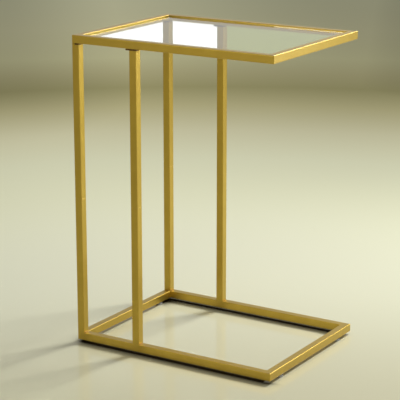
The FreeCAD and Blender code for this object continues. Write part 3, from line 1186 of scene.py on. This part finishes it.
# ---- studio ---------------------------------------------------------------------------
@dataclass(frozen=True)
class FloorPaint(Finish):
    """Pale studio floor with painted light and shade, plain near the table.

    Distances are in metres from the table's middle. Back is along the line from the camera, and
    across is to its right. Painted shade lies in the gaps under the front and back rails, just before
    the table, in one soft darker ring far off and towards both sides far behind; the rings beyond are
    painted brighter to make up for the light's falloff. For the glass, pale glowing cards take the
    place of the far floor.
    """

    slot: str = "studio_floor"
    turn: float = 31.99
    # rings by distance: a painted ring of shade near 2.75 m, and rings beyond it painted brighter to make up
    # for the light's falloff
    rings: tuple[tuple[float, Colour], ...] = (
        (0.0, (0.78, 0.78, 0.60)), (0.9, (0.77, 0.78, 0.59)), (1.6, (0.74, 0.75, 0.56)),
        (2.0, (0.72, 0.70, 0.49)), (2.4, (0.64, 0.60, 0.35)), (2.75, (0.51, 0.48, 0.25)),
        (3.05, (0.69, 0.65, 0.38)), (3.4, (0.90, 0.88, 0.55)), (4.2, (1.0, 0.98, 0.66)),
        (5.0, (1.0, 1.0, 0.70)))
    # painted shade on the floor before the table: none 0.35 m behind its middle, full 0.45 m in front of it
    front_tone: Colour = (0.70, 0.68, 0.49)
    front_reach: Pair = (0.35, -0.45)
    # painted shade on the far floor towards both sides, within a fan that widens behind the table
    fan: float = 0.13
    fan_reach: Pair = (-0.3, 0.5)
    fan_start: Pair = (1.7, 2.9)
    left_dim: float = 0.36
    right_dim: float = 0.45
    # painted shade that darkens the floor towards the right, from just behind the table outwards
    near_dim: float = 0.32
    near_start: Pair = (0.2, 1.5)
    near_reach: Pair = (-0.7, 0.7)
    # painted contact shadow: the floor goes near black where ambient occlusion finds the narrow gaps under
    # the front and back rails
    contact_tone: Colour = (0.03, 0.02, 0.006)
    contact_size: float = 0.035
    contact_reach: Pair = (0.35, 0.97)
    contact_samples: int = 12
    middle_tubes: Pair = (2.0, 4.0)
    beside_tubes: float = 0.25
    # glowing cards, painted light: emission in the place of the far floor for rays through the glass, white
    # to the left and green to the right
    card_start: Pair = (1.4, 1.6)
    card_edge: Pair = (0.036, 0.026)
    card_slant: float = 0.0101
    white_card: Colour = (2.0, 2.0, 2.0)
    green_card: Colour = (0.50, 0.54, 0.17)
    sheen_reach: float = 1.3
    sheen_core: float = 0.5
    sheen_roughness: float = 0.10
    sheen_index: float = 1.5

    def shade(self, graph: Graph) -> Signal:
        """The painted floor, with glowing cards in the place of its far part as the glass shows it: painted
        light that only rays through the glass see.
        """
        turned = graph.node("VectorRotate", {"rotation_type": "Z_AXIS"},
                            {"Vector": graph.place(), "Angle": -math.radians(self.turn)})
        across = graph.node("SeparateXYZ", {}, {"Vector": turned})
        back = across.output("Y")
        away = graph.node("VectorMath", {"operation": "LENGTH"}, {0: graph.place()}, "Value")
        free_of_painted_shadow = self._open(graph)
        # painted contact shadow under the front and back rails
        colour = graph.mix(self.contact_tone, self._colour(graph, away, back, across), free_of_painted_shadow)
        left = (across - back * self.card_slant).step(*self.card_edge)
        # painted light: the glowing cards
        glowing_cards = graph.node("Emission", {}, {"Color": graph.mix(self.green_card, self.white_card, left)})
        through = graph.node("LightPath", {}, {}, "Is Transmission Ray")
        glossy = free_of_painted_shadow * away.step(self.sheen_reach, self.sheen_core)
        return graph.node("MixShader", {}, {0: through * back.step(*self.card_start),
                                            1: self._paint(graph, colour, glossy), 2: glowing_cards})

    def _colour(self, graph: Graph, away: Signal, back: Signal, across: Signal) -> Signal:
        """Colour by distance, with painted shade just before the table, towards both sides far behind it and
        to the right behind it.
        """
        last = self.rings[-1][0]
        stops = [(place / last, colour) for place, colour in self.rings]
        colour = graph.node("ValToRGB", {"stops": stops}, {0: away * (1.0 / last)})
        # painted shade towards both sides far behind the table, and to the right behind it
        side = across.step(-self.fan_reach[1], self.fan_reach[1]) * (self.right_dim - self.left_dim)
        far_side_shade = (abs(across) - back * self.fan).step(*self.fan_reach) * back.step(*self.fan_start)
        right = across.step(*self.near_reach) * back.step(*self.near_start) * self.near_dim
        # painted shade just before the table
        front_shaded = graph.mix(colour, self.front_tone, back.step(*self.front_reach))
        return graph.mix(front_shaded, BLACK, (far_side_shade * (side + self.left_dim)).larger(right))

    def _open(self, graph: Graph) -> Signal:
        """Where the painted contact shadow stays off: 0 in the narrow gaps under the front and back rails,
        and 1 in the open and at the lit sides.
        """
        gap = graph.node("AmbientOcclusion", {"samples": self.contact_samples},
                         {"Distance": self.contact_size}, "AO")
        low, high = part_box("base_right_rail")
        tube = high.x - low.x
        x = graph.node("SeparateXYZ", {}, {"Vector": graph.place()})
        y = x.output("Y")
        between = abs(y).step(*(high.y - tubes * tube for tubes in self.middle_tubes))
        beside = x.step(low.x - self.beside_tubes * tube, low.x) * y.step(low.y, low.y + tube)
        return gap.step(*self.contact_reach).larger(between).larger(beside)

    def _paint(self, graph: Graph, colour: Signal, glossy: Signal) -> Signal:
        """The colour with a share of gloss."""
        matt = graph.node("BsdfDiffuse", {}, {"Color": colour})
        polished = graph.principled({"Base Color": colour, "Roughness": self.sheen_roughness,
                                     "IOR": self.sheen_index})
        return graph.node("MixShader", {}, {0: glossy, 1: matt, 2: polished})


@dataclass(frozen=True)
class SkyPatch:
    """One soft-edged part of the world's light, between two elevations and about one bearing.

    The bearing is in degrees from +X towards +Y, and a reach of 180 degrees goes all the way round.
    """

    colour: Colour
    low: float
    high: float
    bearing: float = 0.0
    reach: float = 180.0
    soft: float = 8.0

    def mask(self, up: Signal, level: Signal) -> Signal:
        """1 inside the patch and 0 outside.

        Args:
            up: the sine of the direction's elevation.
            level: the direction laid flat, of length 1.

        Returns:
            The mask.
        """
        inside = up.step(*self._sines(self.low - self.soft / 2, self.low + self.soft / 2))
        if self.high < 90.0:
            inside = inside * up.step(*self._sines(self.high + self.soft / 2, self.high - self.soft / 2))
        if self.reach < 180.0:
            turn = math.radians(self.bearing)
            facing = level.graph.node("VectorMath", {"operation": "DOT_PRODUCT"},
                                      {0: level, 1: (math.cos(turn), math.sin(turn), 0.0)}, "Value")
            edges = [math.cos(math.radians(self.reach + side * self.soft / 2)) for side in (1, -1)]
            inside = inside * facing.step(*edges)
        return inside

    @staticmethod
    def _sines(first: float, second: float) -> Pair:
        """The sines of two elevations in degrees."""
        return math.sin(math.radians(first)), math.sin(math.radians(second))


@dataclass(frozen=True)
class SoftLamp:
    """A rectangular soft light that the camera doesn't see."""

    name: str
    place: Point
    aim: Point
    size: Pair
    watts: float
    colour: Colour
    off_floor: bool = False

    def hang(self, pieces: bpy.types.Collection) -> None:
        """Put the lamp up, turned to its aim.

        Args:
            pieces: all that the lamp lights where it is kept off the floor.
        """
        lamp = bpy.data.lights.new(self.name, "AREA")
        lamp.shape = "RECTANGLE"
        lamp.size, lamp.size_y = self.size
        lamp.energy = self.watts
        lamp.color = self.colour
        holder = bpy.data.objects.new(self.name, lamp)
        holder.location = self.place
        beam = Vector(self.aim) - Vector(self.place)
        holder.rotation_euler = beam.to_track_quat("-Z", "Y").to_euler()
        holder.visible_camera = False
        if self.off_floor:
            holder.light_linking.receiver_collection = pieces
        bpy.context.scene.collection.objects.link(holder)


@dataclass
class Studio:
    """Floor, world light, lamps and camera."""

    floor_radius: float = 14.0
    floor_sides: int = 96
    sky: tuple[SkyPatch, ...] = (
        SkyPatch((0.46, 0.46, 0.44), 50.0, 90.0),
        SkyPatch((0.30, 0.29, 0.26), 20.0, 50.0),
        SkyPatch((0.62, 0.62, 0.61), 0.0, 20.0, 67.0, 90.0),
        SkyPatch((0.20, 0.18, 0.12), 0.0, 20.0, 247.0, 90.0),
    )
    backdrop: Colour = (0.21, 0.21, 0.137)
    camera_place: Point = (1.6153, -2.6452, 1.1225)
    camera_yaw: float = 31.99
    camera_pitch: float = 14.95
    camera_lens: float = 142.8
    camera_sensor: float = 36.0
    camera_range: float = 100.0
    lamps: tuple[SoftLamp, ...] = (
        SoftLamp("key_light", (0.487, 1.700, 2.068), (0.0, 0.0, 0.3), (0.7, 0.7), 56.0,
                 (1.0, 0.99, 0.94)),
        SoftLamp("side_light", (1.7, -0.2, 0.9), (0.0, 0.0, 0.3), (1.4, 1.0), 10.0,
                 (1.0, 1.0, 0.98), off_floor=True),
        SoftLamp("rim_light", (1.33, 1.33, 0.50), (0.0, 0.0, 0.2), (0.7, 0.7), 3.1,
                 (1.0, 1.0, 0.98), off_floor=True),
        SoftLamp("front_light", (-0.64, -1.77, 0.98), (0.0, 0.0, 0.3), (0.7, 0.7), 5.2,
                 (1.0, 0.93, 0.82), off_floor=True),
    )

    def build(self) -> None:
        """Set up everything round the table."""
        pieces = bpy.data.collections.new("table_pieces")
        for piece in [thing for thing in bpy.data.objects if thing.type == "MESH"]:
            pieces.objects.link(piece)
        self.floor()
        self.world()
        for lamp in self.lamps:
            lamp.hang(pieces)
        self.camera()
        bpy.context.scene.view_settings.view_transform = "Standard"

    def floor(self) -> None:
        """A wide round floor at height 0."""
        work = Workpiece.disc("studio_floor", self.floor_radius, 0.0, self.floor_sides)
        FloorPaint().dress(work.piece)

    def world(self) -> None:
        """Soft light from above, a darker front, and the plain backdrop for the camera."""
        world = bpy.data.worlds.new("studio_world")
        world.use_nodes = True
        bpy.context.scene.world = world
        graph = Graph(world.node_tree)
        direction = graph.node("TexCoord", {}, {}, "Generated")
        light = graph.node("Background", {}, {"Color": self._sky(graph, direction), "Strength": 1.0})
        plain = graph.node("Background", {}, {"Color": self.backdrop, "Strength": 1.0})
        path = graph.node("LightPath", {}, {}, "Is Camera Ray")
        seen = path.larger(path.output("Is Transmission Ray"))
        graph.surface(graph.node("MixShader", {}, {0: seen, 1: light, 2: plain}))

    def _sky(self, graph: Graph, direction: Signal) -> Signal:
        """The colour of the light from each direction."""
        up = graph.node("SeparateXYZ", {}, {"Vector": direction}, "Z")
        flat = graph.node("VectorMath", {"operation": "MULTIPLY"}, {0: direction, 1: (1.0, 1.0, 0.0)})
        level = graph.node("VectorMath", {"operation": "NORMALIZE"}, {0: flat})
        add = {"data_type": "RGBA", "blend_type": "ADD"}
        colour = BLACK
        for patch in self.sky:
            colour = graph.node("Mix", add, {0: patch.mask(up, level), 6: colour, 7: patch.colour}, 2)
        return colour

    def camera(self) -> None:
        """A long lens from the front and the open end's side, looking slightly down."""
        eye = bpy.data.cameras.new("camera")
        eye.lens = self.camera_lens
        eye.sensor_width = self.camera_sensor
        eye.clip_end = self.camera_range
        holder = bpy.data.objects.new("camera", eye)
        holder.location = self.camera_place
        tilt, turn = math.radians(90.0 - self.camera_pitch), math.radians(self.camera_yaw)
        holder.rotation_euler = (tilt, 0.0, turn)
        bpy.context.scene.collection.objects.link(holder)
        bpy.context.scene.camera = holder


def main() -> None:
    """Dress the frame, build the new pieces and set up the studio."""
    logging.basicConfig(level=logging.INFO, format="%(name)s: %(message)s")
    bpy.ops.object.select_all(action="DESELECT")
    SteelFrame({"front": Axis.X, "back": Axis.X, "left": Axis.Y, "right": Axis.Y}).dress()
    LevellingFeet().build()
    Screws().build()
    WeldBeads().build()
    GlassTop().build()
    Studio().build()


if __name__ == "__main__":
    main()
